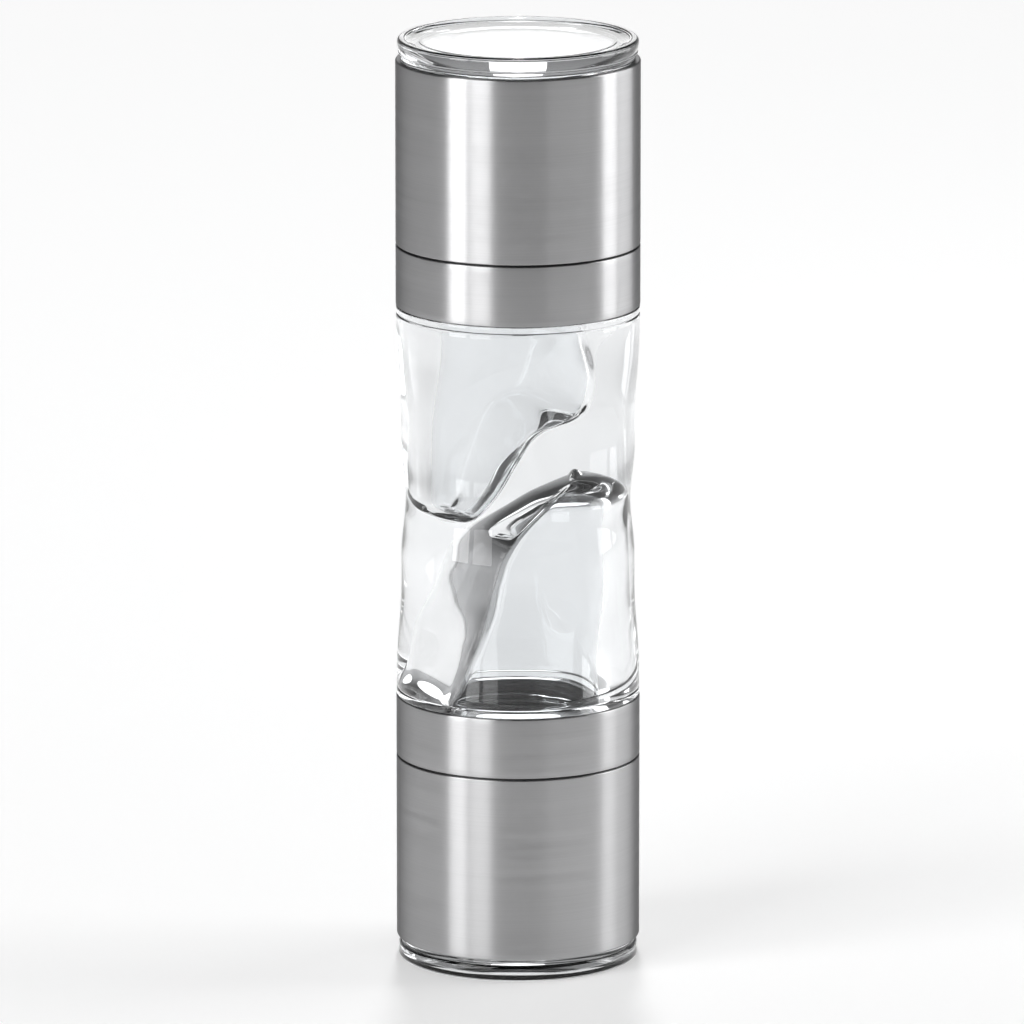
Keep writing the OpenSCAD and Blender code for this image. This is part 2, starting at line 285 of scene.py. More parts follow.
def steel(name, base, rough, aniso):
    """Steel brushed around the mill's axis: fine scratches and broad bands of another polish."""
    m = Material(name).set(Metallic=1.0, Anisotropic=aniso, Anisotropic_Rotation=0.25, IOR=2.4,
                           Specular_Tint=(0.3, 0.3, 0.3, 1))
    tangent = m.nodes.new("ShaderNodeTangent")
    tangent.direction_type = "RADIAL"
    tangent.axis = "Z"
    m.links.new(tangent.outputs["Tangent"], m.bsdf.inputs["Tangent"])
    fine = m.noise(30, 4, (1, 1, 420), 0.62)
    broad = m.noise(14, 3, (1, 1, 40), 0.5)
    m.feed("Base Color", m.ramp(fine, [(0.28, tint(base, 0.93)), (0.5, base), (0.74, tint(base, 1.05))]))
    m.feed("Roughness", m.range(broad, rough - 0.03, rough + 0.04))
    m.bump(fine, 0.10, 0.00004)
    return m.mat


def plastic(name, base, rough, grain=1400, depth=0.00004):
    """Moulded plastic with a fine grain and uneven wear."""
    m = Material(name).set(IOR=1.5)
    g = m.noise(grain, 4)
    wear = m.noise(90, 3)
    m.feed("Base Color", m.ramp(wear, [(0.3, tint(base, 0.82)), (0.7, tint(base, 1.2))]))
    m.feed("Roughness", m.range(g, rough - 0.08, rough + 0.1))
    m.bump(g, 0.25, depth)
    return m.mat


def acrylic(name):
    """Clear, polished acrylic with a faint moulded ripple, and a light grey tint that is painted shade: it
    darkens what is seen through the body and caps.
    """
    # The grey Base Color is painted shade, standing in for darker surroundings seen through the acrylic.
    m = Material(name).set(IOR=1.49, Roughness=0.0, Transmission_Weight=1.0,
                           Base_Color=(0.872, 0.886, 0.896, 1))
    m.bump(m.noise(60, 2), 0.03, 0.0002)
    return m.mat


def ceramic(name):
    """Off-white sintered ceramic with a fine grain."""
    m = Material(name).set(IOR=1.6, Subsurface_Weight=0.08)
    g = m.noise(900, 5)
    stain = m.noise(160, 4)
    m.feed("Base Color", m.ramp(stain, [(0.3, (0.84, 0.82, 0.76)), (0.6, (0.93, 0.92, 0.88))]))
    m.feed("Roughness", m.range(g, 0.45, 0.62))
    m.bump(g, 0.2, 0.00003)
    return m.mat


def silicone(name):
    """Milky silicone rubber."""
    m = Material(name).set(IOR=1.41, Transmission_Weight=0.35)
    g = m.noise(700, 3)
    m.feed("Base Color", m.ramp(g, [(0.3, (0.66, 0.67, 0.67)), (0.7, (0.78, 0.79, 0.79))]))
    m.feed("Roughness", m.range(g, 0.38, 0.5))
    m.bump(g, 0.1, 0.00003)
    return m.mat


MATS = {
    "clear_acrylic": acrylic("clear_acrylic"),
    "brushed_steel": steel("brushed_steel", (0.46, 0.46, 0.465), 0.32, 0.95),
    "plain_steel": steel("plain_steel", (0.55, 0.55, 0.56), 0.3, 0.3),
    "screw_steel": steel("screw_steel", (0.42, 0.42, 0.43), 0.35, 0.2),
    "black_plastic": plastic("black_plastic", (0.045, 0.045, 0.047), 0.30),
    "slip_plastic": plastic("slip_plastic", (0.03, 0.03, 0.032), 0.35, 2200, 0.00002),
    "burr_ceramic": ceramic("burr_ceramic"),
    "silicone": silicone("silicone"),
}
SLOT_OF = {s["node"]: s["material_slot"] for s in frame["record"]["subparts"]}
BODY_OF = {n: b for b, ns in frame["record"]["behaviour"]["bodies"].items() for n in ns}

for name, obj in frame["nodes"].items():
    obj.data.materials.clear()
    obj.data.materials.append(MATS[SLOT_OF[name]])


def settle(obj, node):
    """A finished piece takes its node's material, rides its body and stands for it."""
    obj.data.materials.clear()
    obj.data.materials.append(MATS[SLOT_OF[node]])
    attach(obj, BODY_OF[node])
    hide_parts(node)
    return obj


# ---------------------------------------------------------------- clear body
def body_radius(d):
    """Outer radius of the clear body at a distance from its middle."""
    return 23.05 + 0.9 * ease(d, 0, 11) + 1.0 * ease(d, 17, 36)


def thread_height(z, t, turns, shift=0.0):
    """How much of a tooth stands at height z and angle t, from 0 to 1."""
    u = z - THREAD_A - shift - PITCH * t / (2 * math.pi)
    n = round(u / PITCH)
    along = (n * PITCH + PITCH * t / (2 * math.pi)) / PITCH
    off = abs(u - n * PITCH)
    tooth = 1 - ease(off, 0.34, 0.86)
    return tooth * ease(along, -0.02, 0.12) * ease(turns - along, -0.02, 0.12)


def neck_point(r, z, t):
    """A point of the body's outside, on the thread where it is on the neck."""
    if abs(r - NECK_R) < 0.02 and NECK_A + 0.5 < z < RING_B - 0.05:
        r += TOOTH * thread_height(z, t, NECK_TURNS)
    return (r * math.cos(t), r * math.sin(t), z)


# The flat side and the sloping end of each chamber: (x, height), from its mouth to its blind end.
SIDES = {
    "lower": [(-18.5, NECK_A), (-18.5, RING_B - 2.5), (-13.4, RING_B - 0.6), (-11.4, RING_B + 3),
              (-10.9, 62), (-10.7, 68), (-10.2, 74), (-9.2, 80), (-7.8, 86.0), (-5.6, 90.6),
              (-2.8, 94.8), (1.2, 99.6), (5.4, 102.0), (8.0, 102.8)],
    "upper": [(-18.5, NECK_A), (-18.5, RING_B - 2.5), (-13.4, RING_B - 0.6), (-11.4, RING_B + 3),
              (-11.0, 62), (-10.9, 68), (-10.6, 73.0), (-9.2, 76.2), (-6.6, 77.4), (-3.6, 78.2),
              (-1.2, 80.4), (1.6, 86.0), (4.4, 91.4), (6.8, 95.2), (8.8, 97.9), (10.2, 98.9)],
}
# Radius at the blind end, and how much the flat side turns away from the middle plane.
ROUND = {"lower": 7.0, "upper": 4.0}
SKEW = {"lower": -0.12, "upper": 0.30}
# Radii at the mouth and in the well, depth as a share of width, how far the flat side bows,
# and the height of the dome on the blind end.
MOUTH_R, WELL_R, DEPTH, BOW, END_CAP = 16.6, 15.8, 0.84, 2.6, 0.9


def chamber_radius(z, top, edge):
    """Radius of a chamber's round wall at a height, eased over at the blind end."""
    r = MOUTH_R + (WELL_R - MOUTH_R) * ease(z, RING_B - 2, RING_B + 12)
    if z <= top - edge:
        return r
    k = min(edge, z - (top - edge))
    return r - edge + math.sqrt(max(0.0, edge ** 2 - k ** 2))


def smooth_line(points, rounds=7, step=0.8):
    """An open line with its corners eased by averaging."""
    pts = densify(points, step, closed=False)
    for _ in range(rounds):
        pts = [pts[0]] + [
            tuple((pts[i - 1][k] + 2 * pts[i][k] + pts[i + 1][k]) / 4 for k in (0, 1))
            for i in range(1, len(pts) - 1)] + [pts[-1]]
    return pts


def chamber_slice(x_side, z, r, shrink=1.0, soft=2.1, skew=0.0):
    """One level of a chamber: a shallow round cut off by the flat side, its corners eased."""
    skew *= ease(z, RING_B + 2, RING_B + 14)
    deep = 1 + (DEPTH - 1) * ease(z, RING_B + 6, RING_B + 26)
    bow = BOW * ease(z, RING_B + 4, RING_B + 22) / 13 ** 2
    x_side = min(x_side, r - 2.0)
    left = max(x_side, -r)
    cx = (left + r) / 2 if left > -r + 0.01 else 0.0

    def point(t):
        ux, uy = math.cos(t), math.sin(t)
        b = cx * ux
        reach = -b + math.sqrt(max(0.0, b * b - cx * cx + r * r))
        across = ux - skew * uy
        if across < -1e-6:
            a, gap = bow * uy * uy, cx - x_side
            wall = -gap / across
            if a > 1e-7:
                wall = (across + math.sqrt(across ** 2 + 4 * a * gap)) / (2 * a)
            if wall < reach + soft:
                reach = soft_min(reach, max(0.05, wall), soft)
        return (cx + reach * ux * shrink, reach * uy * shrink * deep, z)
    return point


def turned_over(fn):
    """The same ring at the mill's other end."""
    def twin(t):
        x, y, z = fn(math.pi - t)
        return (-x, y, H - z)
    return twin


def add_chamber(b, mouth, which):
    """Walls of one chamber, joined to the ring at its mouth."""
    line = smooth_line(SIDES[which])
    top, edge, skew = line[-1][1], ROUND[which], SKEW[which]
    slices = [chamber_slice(x, z, chamber_radius(z, top, edge), skew=skew) for x, z in line[2:]]
    x, z = line[-1]
    r = chamber_radius(z, top, edge)
    slices += [chamber_slice(x, z + END_CAP * (1 - s * s), r, s, skew=skew) for s in (0.8, 0.6, 0.4, 0.2)]
    middle = (max(min(x, r - 2.0), -r) + r) / 2
    last = mouth
    if which == "lower":
        for level in slices:
            here = b.ring(level)
            b.bridge(here, last)
            last = here
        b.close(last, (middle, 0, z + END_CAP), flip=True)
    else:
        for level in slices:
            here = b.ring(turned_over(level))
            b.bridge(last, here)
            last = here
        b.close(last, (-middle, 0, H - z - END_CAP))


def make_clear_body():
    """Clear body: a threaded neck at each end, a waved outside and two blind chambers."""
    b = Build()
    outline = [(MOUTH_R + 0.7, NECK_A), (NECK_R - 0.6, NECK_A), (NECK_R, NECK_A + 0.5)]
    z = NECK_A + 0.62
    while z < RING_B - 0.35:
        outline.append((NECK_R, z))
        z += 0.13
    outline += [(NECK_R, RING_B - 0.25), (NECK_R + 0.25, RING_B), (24.55, RING_B)]
    outline += arc(24.65, RING_B + 0.3, 0.3, -90, 0, 4)
    outline += [(24.95, RING_B + 1.15), (24.9, RING_B + 1.3), (24.72, RING_B + 1.5),
                (24.9, RING_B + 1.7), (24.95, RING_B + 1.85)]
    d = 38.0
    while d > 0.01:
        outline.append((body_radius(d), MID - d))
        d -= 1.0
    outline.append((body_radius(0), MID))
    mouth_z = NECK_A + 0.8
    rings = [b.ring(lambda t: (MOUTH_R * math.cos(t), MOUTH_R * math.sin(t), mouth_z))]
    for r, z in outline:
        rings.append(b.ring(lambda t: neck_point(r, z, t)))
    for r, z in reversed(outline[:-1]):
        rings.append(b.ring(turned_over(lambda t: neck_point(r, z, t))))
    rings.append(b.ring(lambda t: (MOUTH_R * math.cos(t), MOUTH_R * math.sin(t), H - mouth_z)))
    for i in range(len(rings) - 1):
        b.bridge(rings[i], rings[i + 1])
    add_chamber(b, rings[0], "lower")
    add_chamber(b, rings[-1], "upper")
    return b.piece("clear_body_acrylic", "lower", 40)


settle(make_clear_body(), "clear_body")


# ---------------------------------------------------------------- outside of a head
def make_cap(end):
    """Clear cap: a dished face with a rounded rim, and a grooved plug that goes into the sleeve."""
    b = Build()
    face, inside = 0.75, 4.2
    outer = [(24.65, 2.55), (24.3, 3.1), (24.0, 3.2), (24.0, CAP_H), (22.9, CAP_H), (22.9, 8.3),
             (21.5, 8.3), (21.5, 9.9), (22.9, 9.9), (22.9, 13.5), (22.4, 14), (20.9, 14), (20.4, 13.5),
             (20.4, inside + 1), (19.4, inside)]
    dish = [(19.0, 0.78), (21.6, 0.62), (22.7, 0.34), (23.1, 0.1)]
    rim = arc(23.45, 0.35, 0.35, 200, 270, 3) + arc(23.85, 0.8, 0.8, 270, 360, 6)
    line = ([(0, face), (4, face), (10, face), (16, face + 0.01)] + rounded(dish, [0.5, 1.2, 0.5, 0.1], 4)
            + rim + rounded(outer, 0.2, 2) + [(16, inside), (8, inside), (3, inside), (0, inside)])
    b.solid(line, SEG)
    return b.piece(end + "_cap_acrylic", end, 40)


def make_sleeve(end):
    """Steel sleeve: a tube with its end turned in over the cap's flange."""
    b = Build()
    outline = ([(23.4, CAP_H + 0.85), (23.4, CAP_H + 0.2), (23.6, CAP_H)]
               + arc(STEEL_R - 0.4, CAP_H + 0.4, 0.4, 270, 360, 6)
               + [(STEEL_R, CAP_H + 2), (STEEL_R, SLEEVE_B - 2), (STEEL_R, SLEEVE_B - 0.3)]
               + arc(STEEL_R - 0.2, SLEEVE_B - 0.2, 0.2, 0, 90, 4)
               + [(STEEL_IN, SLEEVE_B), (STEEL_IN, CAP_H + 0.85)])
    b.revolve(outline)
    return b.piece(end + "_sleeve_steel", end, 40)


def make_ring(end):
    """Narrow steel ring around the collar."""
    b = Build()
    outline = ([(RING_IN, RING_A)] + arc(STEEL_R - 0.2, RING_A + 0.2, 0.2, 270, 360, 4)
               + [(STEEL_R, RING_A + 1.5), (STEEL_R, RING_B - 1.5)]
               + arc(STEEL_R - 0.28, RING_B - 0.38, 0.28, 0, 90, 4) + [(RING_IN, RING_B - 0.1)])
    b.revolve(outline)
    return b.piece(end + "_ring_steel", end, 40)


for end in ("lower", "upper"):
    settle(make_cap(end), end + "_cap")
    settle(make_sleeve(end), end + "_sleeve")
    settle(make_ring(end), end + "_ring")


# ---------------------------------------------------------------- parts inside a head
def turn(x, y, a):
    """A point turned about the axis."""
    return (x * math.cos(a) - y * math.sin(a), x * math.sin(a) + y * math.cos(a))


def polar_square(t, half, corner):
    """Radius of a square with rounded corners, in the direction t."""
    c, s = abs(math.cos(t)), abs(math.sin(t))
    flat = half / max(c, s)
    d = half - corner
    b = d * (c + s)
    edge = b + math.sqrt(max(0.0, b * b - 2 * d * d + corner * corner))
    return edge if min(c, s) * flat > d else flat


def subtract(obj, cutters):
    """Cuts closed shapes out of a piece."""
    for c in cutters:
        m = obj.modifiers.new("cut", "BOOLEAN")
        m.operation, m.object, m.solver = "DIFFERENCE", c, "EXACT"
    bpy.context.view_layer.update()
    done = bpy.data.meshes.new_from_object(obj.evaluated_get(bpy.context.evaluated_depsgraph_get()))
    done.name = obj.name
    obj.modifiers.clear()
    obj.data = done
    for c in cutters:
        bpy.data.objects.remove(c)
    done.polygons.foreach_set("use_smooth", [True] * len(done.polygons))
    done.set_sharp_from_angle(angle=math.radians(32))
    return obj


def round_cutters(name, end, places, r0, r1, z0, z1):
    """Round bars or cones, to cut holes with."""
    b = Build()
    for place in places:
        b.solid([(0, z0), (r0, z0), (r1, z1), (0, z1)], 40, at=place)
    return new_piece(name, b.verts, b.faces, end)


def make_collar(end):
    """Threaded collar: its bore carries the neck's thread, its floor the spindle on three arms."""
    b = Build()
    bore = [(BORE_R, z) for z in [FLOOR_B + 0.4 + 0.16 * i for i in range(69)]]

    def wave(r, z, t):
        if abs(r - BORE_R) < 0.01:
            r -= TOOTH * thread_height(z, t, COLLAR_TURNS, PITCH / 2)
        return (r * math.cos(t), r * math.sin(t), z)
    outline = rounded([(BEARING_R, RING_A), (RING_IN, RING_A), (RING_IN, RING_B - 0.4),
                       (RING_IN - 0.3, RING_B - 0.1), (BORE_R + 0.6, RING_B - 0.1)], 0.12, 2)
    outline += list(reversed(bore)) + [(BORE_R - 0.05, FLOOR_B + 0.1), (BORE_R - 0.35, FLOOR_B)]
    tip, groove = CLIP_A - 1, CLIP_A + CLIP_T
    outline += rounded([(18, FLOOR_B), (14.6, FLOOR_B), (14.6, FLOOR_A), (13.3, tip), (14.9, tip),
                        (16.2, FLOOR_A - 1), (20.2, FLOOR_A - 1), (20.2, tip), (21.8, tip),
                        (BEARING_R, CLIP_A - 0.6), (BEARING_R, CLIP_A), (21.2, CLIP_A), (21.2, groove),
                        (BEARING_R, groove), (BEARING_R, RING_A - 2)],
                       [0, 0.4, 0.3, 0.2, 0.2, 0.5, 0.5, 0.2, 0.1, 0.1, 0.05, 0.1, 0.1, 0.05, 0], 3)
    b.revolve(outline, SEG, wave=wave)
    hub = rounded([(2.02, HUB_A), (5.2, HUB_A), (5.2, FLOOR_B), (2.02, FLOOR_B)], [0.1, 0.4, 0.3, 0.1], 3)

    def square(r, z, t):
        if r < 2.2:
            r = polar_square(t, r, 0.15)
        return (r * math.cos(t), r * math.sin(t), z)
    b.revolve(hub, 96, wave=square)
    for a in SCREWS:
        side = rounded([(-1.8, FLOOR_B - 3.4), (1.8, FLOOR_B - 3.4), (1.8, FLOOR_B - 0.02),
                        (-1.8, FLOOR_B - 0.02)], [0.5, 0.5, 0.25, 0.25], 3)
        b.prism(side, 5.0, 14.75, lambda x, y, z: (*turn(z, x, a), y))
    return b.piece(end + "_collar_threaded", end, 40)


def make_housing(end):
    """Housing: a ribbed liner with three screw bosses."""
    b = Build()
    bore, seat, roof = BEARING_R + 0.3, CLIP_A + 1.1, SLEEVE_B - 0.5
    b.revolve(rounded([(23.2, CAP_H + 0.8), (STEEL_IN, CAP_H + 0.8), (STEEL_IN, roof), (bore, roof),
                       (bore, seat), (23.4, seat), (23.4, CLIP_A - 1.8), (22, CLIP_A - 1.8),
                       (22, PLATE_B + 0.02), (23.2, PLATE_B + 0.02)],
                      [0.15, 0.15, 0.3, 0.4, 0.2, 0.2, 0.2, 0.3, 0.2, 0.2], 3))
    for a in SCREWS:
        x, y = turn(SCREW_RING_R, 0, a)
        b.revolve(rounded([(1.22, PLATE_B + 0.04), (2.3, PLATE_B + 0.04), (2.3, PLATE_B + 9),
                           (1.22, PLATE_B + 9)], [0.05, 0.1, 0.4, 0.2], 3), 40, at=(x, y))
    for i in range(24):
        a = math.radians(15 * i + 7.5)
        if min(abs((a - s + math.pi) % (2 * math.pi) - math.pi) for s in SCREWS) > 0.15:
            rib = rounded([(21.55, -0.35), (22.1, -0.35), (22.1, 0.35), (21.55, 0.35)], [0.2, 0, 0, 0.2], 2)
            b.prism(rib, PLATE_B + 0.3, CLIP_A - 2.1, lambda x, y, z: (*turn(x, y, a), z))
    return b.piece(end + "_rotor_liner", end, 35)


def make_carrier(end):
    """Carrier: a plate with recessed screw holes and the hub that holds the ring burr."""
    b = Build()
    b.revolve(rounded([(13.9, PLATE_A), (23.1, PLATE_A), (23.1, PLATE_B), (17.6, PLATE_B),
                       (17.6, BURR_B - 0.1), (15.95, BURR_B - 0.1), (15.95, BURR_A), (13.9, BURR_A)],
                      [0.35, 0.35, 0.2, 0.5, 0.3, 0.25, 0.1, 0.2], 3))
    plate = b.piece(end + "_carrier_plate", end, 35)
    spots = [turn(SCREW_RING_R, 0, a) for a in SCREWS]
    slots = Build()
    for a in LUGS:
        slots.prism([(15.5, -1.6), (17.1, -1.6), (17.1, 1.6), (15.5, 1.6)], BURR_A, BURR_B + 1,
                    lambda x, y, z: (*turn(x, y, a), z))
    return subtract(plate, [
        round_cutters("screw_holes", end, spots, 1.3, 1.3, PLATE_A - 1, PLATE_B + 1),
        round_cutters("head_seats", end, spots, 2.35, 2.15, PLATE_A - 0.6, PLATE_A + 1.3),
        new_piece("lug_slots", slots.verts, slots.faces, end)])


def make_screws(end):
    """Three pan-head screws with cross recesses and rolled threads."""
    b = Build()
    for a in SCREWS:
        x, y = turn(SCREW_RING_R, 0, a)
        head = [(0, PLATE_A + 0.1), (0.9, PLATE_A + 0.12), (1.5, PLATE_A + 0.24), (1.85, PLATE_A + 0.5),
                (2.0, PLATE_A + 0.85), (1.98, PLATE_A + 1.22), (1.9, PLATE_A + 1.29), (1.0, PLATE_A + 1.29)]
        shank = []
        z = PLATE_A + 1.4
        while z < PLATE_A + 9.4:
            shank += [(1.16, z), (0.92, z + 0.22), (0.92, z + 0.34)]
            z += 0.55
        tip = [(1.0, PLATE_A + 9.7), (0.5, PLATE_A + 10.15), (0, PLATE_A + 10.2)]
        b.solid(head + shank + tip, 40, at=(x, y))
    screws = b.piece(end + "_pan_screws", end, 32)
    crosses = []
    for k in (0, math.pi / 2):
        cross = Build()
        for n, a in enumerate(SCREWS):
            x, y = turn(SCREW_RING_R, 0, a)
            cross.prism([(-1.15, -0.21), (1.15, -0.21), (1.15, 0.21), (-1.15, 0.21)],
                        PLATE_A - 0.2, PLATE_A + 0.85,
                        lambda u, v, w: (x + turn(u, v, k + n)[0], y + turn(u, v, k + n)[1], w))
        crosses.append(new_piece("cross", cross.verts, cross.faces, end))
    return subtract(screws, crosses)


def saw(u, up=0.7):
    """A wave of period 1 that climbs slowly from 0 to 1 and falls back fast."""
    u -= math.floor(u)
    return ease(u, 0, up) if u < up else 1 - ease(u, up, 1)


def fine_cut(z, t):
    """How deep the fine teeth are cut at a place on either burr, from 0 to 1."""
    return saw(24 * t / (2 * math.pi) - 0.16 * (z - BURR_A)) * ease(z, BURR_A + 4.6, BURR_A + 3.6)


def coarse_cut(z, t):
    return saw(8 * t / (2 * math.pi) - 0.11 * (z - BURR_A), 0.62) * ease(z, BURR_A + 2.6, BURR_A + 5.4)


def make_cone_burr(end):
    """Cone burr: fine teeth at its wide end, eight winding grooves above, square inside."""
    b = Build()
    skirt = [(12.1, BURR_A), (12.4, BURR_A + 0.3), (10.5, BURR_A + 4), (5.8, BURR_B - 0.4)]
    outer = densify(skirt, 0.24, closed=False)
    outline = ([(2.1, BURR_A + 0.15), (2.3, BURR_A), (7, BURR_A)] + outer
               + [(5.4, BURR_B), (2.3, BURR_B), (2.1, BURR_B - 0.15)])

    def wave(r, z, t):
        if r < 2.5:
            r = polar_square(t, r, 0.2)
        elif r > 5.7:
            r = max(4.6, r - 0.62 * fine_cut(z, t) - 2.1 * coarse_cut(z, t) * ease(BURR_B - z, -0.4, 2.0))
        return (r * math.cos(t), r * math.sin(t), z)
    b.revolve(outline, 288, wave=wave)
    return b.piece(end + "_cone_burr_teeth", end, 28)


def make_ring_burr(end):
    """Ring burr: the same teeth facing inwards, and three lugs that lock it in the carrier."""
    b = Build()
    throat = densify([(13.4, BURR_B), (11.1, BURR_A + 4), (13.0, BURR_A)], 0.24, closed=False)
    outline = throat + rounded([(14.4, BURR_A), (15.9, BURR_A), (15.9, BURR_B), (14.6, BURR_B)],
                               [0, 0.25, 0.25, 0], 3)

    def wave(r, z, t):
        if r < 13.45:
            r += 0.55 * fine_cut(z, -t) + 1.2 * coarse_cut(z, -t)
        return (r * math.cos(t), r * math.sin(t), z)
    b.revolve(outline, 288, wave=wave)
    for a in LUGS:
        lug = rounded([(15.4, -1.5), (17.0, -1.5), (17.0, 1.5), (15.4, 1.5)], [0, 0.3, 0.3, 0], 3)
        b.prism(lug, BURR_A + 0.1, BURR_B - 0.3, lambda x, y, z: (*turn(x, y, a), z))
    return b.piece(end + "_ring_burr_teeth", end, 28)


def make_knob(end):
    """Knob: ten finger flutes, a domed face and a nut's bore."""
    b = Build()
    a = BURR_A - 5.7
    outline = rounded([(2.08, a), (5.9, a), (6.5, a + 0.7), (6.5, a + 4), (6, a + 4.4), (6, BURR_A),
                       (3.2, BURR_A), (3.2, BURR_A - 1.9), (2.08, BURR_A - 1.9)],
                      [0.25, 0.5, 0.5, 0.3, 0.1, 0.15, 0.15, 0.1, 0.1], 4)
    outline = densify(outline, 0.35)

    def wave(r, z, t):
        if r > 3.4 and z < a + 4.9:
            near = (t + math.pi / 10) % (math.pi / 5) - math.pi / 10
            inside = 1.3 ** 2 - (7.3 * math.sin(near)) ** 2
            if inside > 0:
                r = soft_min(r, 7.3 * math.cos(near) - math.sqrt(inside), 0.18)
        return (r * math.cos(t), r * math.sin(t), z)
    b.revolve(outline, 240, wave=wave)
    return b.piece(end + "_knob_fluted", end, 35)


def make_spindle(end):
    """Spindle: a threaded tip, a square shank with broken corners and a riveted head."""
    b = Build()
    tip, shank = BURR_A - 7.4, BURR_A - 0.8
    line = [(0, tip), (1.0, tip), (1.5, tip + 0.05), (1.8, tip + 0.3)]
    z = tip + 0.45
    while z < shank - 0.5:
        line.append((2.0, z))
        z += 0.07
    line += [(1.8, shank - 0.3), (1.8, shank), (2.0, shank + 0.3), (2.0, shank + 0.9), (2.0, BURR_B),
             (2.0, FLOOR_B), (3.7, FLOOR_B + 0.01), (3.8, FLOOR_B + 0.2), (3.55, FLOOR_B + 0.7),
             (2.9, FLOOR_B + 1.05), (1.4, FLOOR_B + 1.1), (0, FLOOR_B + 1.1)]

    def wave(r, z, t):
        if tip + 0.4 < z < shank - 0.4 and r > 1.9:
            turned = (z - tip) / 0.7 - t / (2 * math.pi)
            r = 2.0 - 0.3 * ease(abs(2 * (turned - math.floor(turned)) - 1), 0.75, 0.1)
        elif shank < z <= FLOOR_B and r > 1.9:
            r = min(polar_square(t, 2.0, 0.18), 1.8 + z - shank)
        return (r * math.cos(t), r * math.sin(t), z)
    b.solid(line, 64, wave=wave)
    return b.piece(end + "_spindle_turned", end, 35)


def make_spring(end):
    """Spring: six turns of round wire with closed, ground ends."""
    b = Build()
    coil_r, wire_r, turns, n = 3.95, 0.35, 6, 6 * 36
    low, high, end_rise = BURR_B + wire_r, HUB_A - wire_r, 0.7
    rings = []
    for i in range(n + 1):
        u = i / n
        first, middle, last = min(1, u / 0.1), max(0, min(1, (u - 0.1) / 0.8)), max(0, (u - 0.9) / 0.1)
        z = low + end_rise * first + (high - low - 2 * end_rise) * middle + end_rise * last
        a = 2 * math.pi * turns * u
        rings.append(b.ring(
            lambda t: (*turn(coil_r + wire_r * math.cos(t), 0, a), z + wire_r * math.sin(t)), 12))
    for i in range(n):
        b.bridge(rings[i + 1], rings[i], 12)
    b.close(rings[0], (coil_r, 0, low), 12)
    b.close(rings[-1], (coil_r, 0, high), 12, flip=True)
    return b.piece(end + "_spring_coil", end, 0)


def make_clip(end):
    """Clip: an open spring ring that is slimmer towards its two ears."""
    b = Build()
    start, sweep, n = math.radians(25), math.radians(310), 120
    inner, outer, low, high = 21.25, 23.05, CLIP_A + 0.02, CLIP_A + 0.78
    side = rounded([(inner, low), (outer, low), (outer, high), (inner, high)], 0.12, 2)
    k = len(side)
    for i in range(n + 1):
        u = i / n
        a = start + sweep * u
        slim = 0.55 + 0.45 * math.sin(math.pi * u) ** 0.5 + 0.45 * (1 - ease(min(u, 1 - u), 0.0, 0.022))
        b.verts += [(*turn(outer - (outer - r) * min(1, slim), 0, a), z) for r, z in side]
    for i in range(n):
        for j in range(k):
            p, q = i * k + j, i * k + (j + 1) % k
            b.faces.append((p, p + k, q + k, q))
    b.faces.append(tuple(range(k)))
    b.faces.append(tuple(n * k + j for j in reversed(range(k))))
    return b.piece(end + "_clip_ring", end, 40)


def make_seal(end):
    """Seal: a round cord in the cap's groove, with a faint moulding line."""
    b = Build()
    line = []
    for i in range(28):
        t = 2 * math.pi * i / 28
        r = 0.74 + (0.02 if i in (0, 14) else 0)
        line.append((22.28 + r * math.cos(t), 9.1 + r * math.sin(t)))
    b.revolve(line, SEG)
    return b.piece(end + "_seal_cord", end, 0)


def make_gasket(end):
    """Gasket: a flat washer with two raised sealing beads."""
    b = Build()
    low, high = FLOOR_B + 0.01, NECK_A - 0.1
    top = [(19.8, high - 0.12), (19.5, high - 0.12), (19.2, high), (18.9, high - 0.12), (18.5, high - 0.12),
           (18.2, high), (17.9, high - 0.12), (17.6, high - 0.12)]
    b.revolve(rounded([(17.5, low), (19.9, low)] + top, 0.06, 2))
    return b.piece(end + "_gasket_beaded", end, 40)


def make_washer(end):
    """Washer: a thin slip ring with eight grease notches in its rim."""
    b = Build()

    def wave(r, z, t):
        near = (t + math.pi / 8) % (math.pi / 4) - math.pi / 8
        if r < 23:
            r += 0.35 * ease(0.03 - abs(near), 0, 0.012)
        return (r * math.cos(t), r * math.sin(t), z)
    b.revolve(rounded([(BEARING_R + 0.02, RING_A - 0.8), (RING_IN, RING_A - 0.8), (RING_IN, RING_A - 0.01),
                       (BEARING_R + 0.02, RING_A - 0.01)], 0.12, 2), 384, wave=wave)
    return b.piece(end + "_washer_slip", end, 40)


INNER_PARTS = (
    (make_collar, "collar"), (make_housing, "rotor_housing"), (make_carrier, "burr_carrier"),
    (make_screws, "carrier_screws"), (make_cone_burr, "inner_burr"), (make_ring_burr, "outer_burr"),
    (make_knob, "adjusting_knob"), (make_spindle, "spindle"), (make_spring, "burr_spring"),
    (make_clip, "retaining_clip"), (make_seal, "cap_seal"), (make_gasket, "collar_gasket"),
    (make_washer, "glide_washer"))
for end in ("lower", "upper"):
    for make, node in INNER_PARTS:
        piece = settle(make(end), end + "_" + node)
        if node == "burr_spring":
            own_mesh(piece)


# ---------------------------------------------------------------- floor, light and camera, in metres
def make_floor(half=7.0):
    """A plain pale floor that glows a little, as a lit table does."""
    corners = [(-half, -half, 0), (half, -half, 0), (half, half, 0), (-half, half, 0)]
    mesh = bpy.data.meshes.new("floor")
    mesh.from_pydata(corners, [], [(0, 1, 2, 3)])
    pale = Material("floor").set(Roughness=0.9, Base_Color=(0.80, 0.80, 0.80, 1),
                                 Emission_Strength=0.36, Emission_Color=(1, 1, 1, 1))
    mesh.materials.append(pale.mat)
    obj = bpy.data.objects.new("floor", mesh)
    bpy.context.scene.collection.objects.link(obj)


